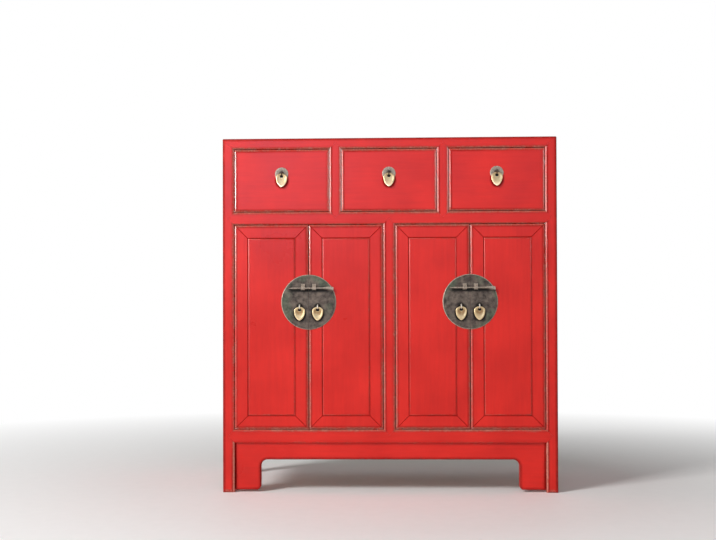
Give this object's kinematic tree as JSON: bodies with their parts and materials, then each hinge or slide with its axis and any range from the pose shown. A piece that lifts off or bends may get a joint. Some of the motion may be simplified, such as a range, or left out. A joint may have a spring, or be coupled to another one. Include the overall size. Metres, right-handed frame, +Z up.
{
  "type": "chest of drawers with doors",
  "caption": "Upright lacquered chest on post legs with a row of drawers over pairs of pivot-hung doors, round brass lock plates with sliding pins and leaf drop pulls.",
  "frame": {"origin": "on the floor, under the middle of the outline", "axes": "+X to the right seen from the front, +Y to the back, +Z up; the drawers and doors face -Y"},
  "size_m": [0.9, 0.4108, 0.955],
  "materials": {
    "red_lacquer": "satin gloss lacquer, rubbed through at the edges",
    "plain_wood": "oiled, matte",
    "aged_brass": "dark patina",
    "bright_brass": "polished by use"
  },
  "bodies": {
    "case": {"post_front_left": "red_lacquer", "post_front_right": "red_lacquer", "post_rear_left": "red_lacquer", "post_rear_right": "red_lacquer", "top_rail_front": "red_lacquer", "top_rail_rear": "red_lacquer", "top_rail_left": "red_lacquer", "top_rail_right": "red_lacquer", "top_panel": "red_lacquer", "drawer_rail": "red_lacquer", "bottom_rail_front": "red_lacquer", "bottom_rail_rear": "red_lacquer", "bottom_rail_left": "red_lacquer", "bottom_rail_right": "red_lacquer", "drawer_divider_left": "red_lacquer", "drawer_divider_right": "red_lacquer", "centre_stile": "red_lacquer", "front_apron": "red_lacquer", "side_panel_left": "red_lacquer", "side_panel_right": "red_lacquer", "back_panel": "plain_wood", "floor_board": "plain_wood", "drawer_deck": "plain_wood", "shelf": "plain_wood"},
    "drawer_left": {"drawer_left_front": "red_lacquer", "drawer_left_box": "plain_wood", "drawer_left_bottom": "plain_wood", "drawer_left_backplate": "aged_brass"},
    "drawer_left_drop": {"drawer_left_drop": "bright_brass"},
    "drawer_middle": {"drawer_middle_front": "red_lacquer", "drawer_middle_box": "plain_wood", "drawer_middle_bottom": "plain_wood", "drawer_middle_backplate": "aged_brass"},
    "drawer_middle_drop": {"drawer_middle_drop": "bright_brass"},
    "drawer_right": {"drawer_right_front": "red_lacquer", "drawer_right_box": "plain_wood", "drawer_right_bottom": "plain_wood", "drawer_right_backplate": "aged_brass"},
    "drawer_right_drop": {"drawer_right_drop": "bright_brass"},
    "door_outer_left": {"door_outer_left_frame": "red_lacquer", "door_outer_left_panel": "red_lacquer", "door_outer_left_lock_plate": "aged_brass", "lock_pin_tip_left": "aged_brass"},
    "door_outer_left_drop": {"door_outer_left_drop": "bright_brass"},
    "door_inner_left": {"door_inner_left_frame": "red_lacquer", "door_inner_left_panel": "red_lacquer", "door_inner_left_lock_plate": "aged_brass"},
    "door_inner_left_drop": {"door_inner_left_drop": "bright_brass"},
    "door_inner_right": {"door_inner_right_frame": "red_lacquer", "door_inner_right_panel": "red_lacquer", "door_inner_right_lock_plate": "aged_brass", "lock_pin_tip_right": "aged_brass"},
    "door_inner_right_drop": {"door_inner_right_drop": "bright_brass"},
    "door_outer_right": {"door_outer_right_frame": "red_lacquer", "door_outer_right_panel": "red_lacquer", "door_outer_right_lock_plate": "aged_brass"},
    "door_outer_right_drop": {"door_outer_right_drop": "bright_brass"},
    "lock_pin_left": {"lock_pin_left": "aged_brass"},
    "lock_pin_right": {"lock_pin_right": "aged_brass"}
  },
  "joints": [
    {"name": "drawer_left_slide", "type": "slide", "parent": "case", "child": "drawer_left", "axis": [0, -1, 0], "range_m": [0, 0.26]},
    {"name": "drawer_left_drop_swing", "type": "hinge", "parent": "drawer_left", "child": "drawer_left_drop", "pos_m": [-0.28967, -0.1983, 0.86], "axis": [1, 0, 0], "range_deg": [-80, 0]},
    {"name": "drawer_middle_slide", "type": "slide", "parent": "case", "child": "drawer_middle", "axis": [0, -1, 0], "range_m": [0, 0.26]},
    {"name": "drawer_middle_drop_swing", "type": "hinge", "parent": "drawer_middle", "child": "drawer_middle_drop", "pos_m": [0, -0.1983, 0.86], "axis": [1, 0, 0], "range_deg": [-80, 0]},
    {"name": "drawer_right_slide", "type": "slide", "parent": "case", "child": "drawer_right", "axis": [0, -1, 0], "range_m": [0, 0.26]},
    {"name": "drawer_right_drop_swing", "type": "hinge", "parent": "drawer_right", "child": "drawer_right_drop", "pos_m": [0.28967, -0.1983, 0.86], "axis": [1, 0, 0], "range_deg": [-80, 0]},
    {"name": "door_outer_left_swing", "type": "hinge", "parent": "case", "child": "door_outer_left", "pos_m": [-0.4065, -0.1866, 0.4455], "axis": [0, 0, -1], "range_deg": [0, 110]},
    {"name": "door_outer_left_drop_swing", "type": "hinge", "parent": "door_outer_left", "child": "door_outer_left_drop", "pos_m": [-0.24165, -0.1986, 0.4995], "axis": [1, 0, 0], "range_deg": [-80, 0]},
    {"name": "door_inner_left_swing", "type": "hinge", "parent": "case", "child": "door_inner_left", "pos_m": [-0.028, -0.1866, 0.4455], "axis": [0, 0, 1], "range_deg": [0, 90]},
    {"name": "door_inner_left_drop_swing", "type": "hinge", "parent": "door_inner_left", "child": "door_inner_left_drop", "pos_m": [-0.19285, -0.1986, 0.4995], "axis": [1, 0, 0], "range_deg": [-80, 0]},
    {"name": "door_inner_right_swing", "type": "hinge", "parent": "case", "child": "door_inner_right", "pos_m": [0.028, -0.1866, 0.4455], "axis": [0, 0, -1], "range_deg": [0, 90]},
    {"name": "door_inner_right_drop_swing", "type": "hinge", "parent": "door_inner_right", "child": "door_inner_right_drop", "pos_m": [0.19285, -0.1986, 0.4995], "axis": [1, 0, 0], "range_deg": [-80, 0]},
    {"name": "door_outer_right_swing", "type": "hinge", "parent": "case", "child": "door_outer_right", "pos_m": [0.4065, -0.1866, 0.4455], "axis": [0, 0, 1], "range_deg": [0, 110]},
    {"name": "door_outer_right_drop_swing", "type": "hinge", "parent": "door_outer_right", "child": "door_outer_right_drop", "pos_m": [0.24165, -0.1986, 0.4995], "axis": [1, 0, 0], "range_deg": [-80, 0]},
    {"name": "lock_pin_left_slide", "type": "slide", "parent": "door_inner_left", "child": "lock_pin_left", "axis": [1, 0, 0], "range_m": [0, 0.016]},
    {"name": "lock_pin_right_slide", "type": "slide", "parent": "door_outer_right", "child": "lock_pin_right", "axis": [1, 0, 0], "range_m": [0, 0.016]}
  ]
}
